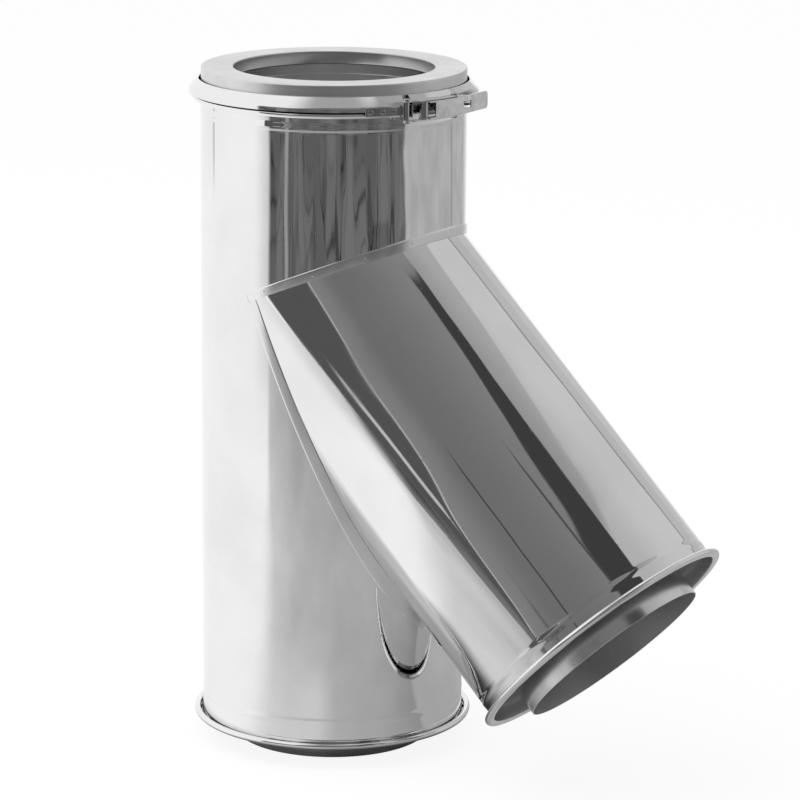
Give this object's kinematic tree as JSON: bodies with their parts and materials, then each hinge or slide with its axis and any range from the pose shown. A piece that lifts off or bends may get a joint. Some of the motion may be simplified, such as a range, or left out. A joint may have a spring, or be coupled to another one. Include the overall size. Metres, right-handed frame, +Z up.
{
  "type": "lateral wye fitting",
  "caption": "Insulated stainless flue lateral: an upright run with a branch leaving down at an angle, a socket above, spigots below, and a locking band with a lever latch.",
  "frame": {"origin": "centre of the run spigot's lower end, which the part stands on", "axes": "+Z up along the run towards its socket, +X towards the branch, whose axis lies in XZ and points down at 45 degrees"},
  "size_m": [0.4284, 0.2184, 0.52],
  "materials": {
    "bright_casing": "bright annealed stainless, mirror-like",
    "bright_branch": "bright annealed stainless, mirror-like",
    "liner_steel": "plain stainless",
    "branch_liner_steel": "plain stainless",
    "mineral_wool": "mineral wool",
    "satin_ring": "satin stainless",
    "recessed_ring": "satin stainless",
    "band_steel": "bright stainless",
    "latch_steel": "pressed stainless",
    "rivet_steel": "stainless rivet",
    "pin_steel": "turned stainless",
    "lever_steel": "pressed stainless",
    "link_steel": "pressed stainless",
    "staple_wire": "wire"
  },
  "bodies": {
    "fitting": {"run_casing": "bright_casing", "branch_casing": "bright_branch", "run_liner": "liner_steel", "branch_liner": "branch_liner_steel", "run_insulation": "mineral_wool", "branch_insulation": "mineral_wool", "top_ring": "satin_ring", "bottom_ring": "recessed_ring", "branch_ring": "recessed_ring", "locking_band": "band_steel", "catch_bracket": "latch_steel", "fulcrum_bracket": "latch_steel", "band_rivets": "rivet_steel", "seal_staple": "staple_wire"},
    "lever_arm": {"lever": "lever_steel", "pivot_pin": "pin_steel"},
    "link": {"link_plate_upper": "link_steel", "link_plate_lower": "link_steel", "link_pin": "pin_steel", "catch_pin": "pin_steel"}
  },
  "joints": [
    {"name": "lever_hinge", "type": "hinge", "parent": "fitting", "child": "lever_arm", "pos_m": [0.10619, -0.03865, 0.5014], "axis": [0, 0, -1], "range_deg": [0, 125]},
    {"name": "link_hinge", "type": "hinge", "parent": "lever_arm", "child": "link", "pos_m": [0.11273, -0.00788, 0.5014], "axis": [0, 0, -1], "range_deg": [-125, 0]}
  ],
  "couplings": [
    {"joint": "link_hinge", "follows": "lever_hinge", "ratio": -1}
  ]
}
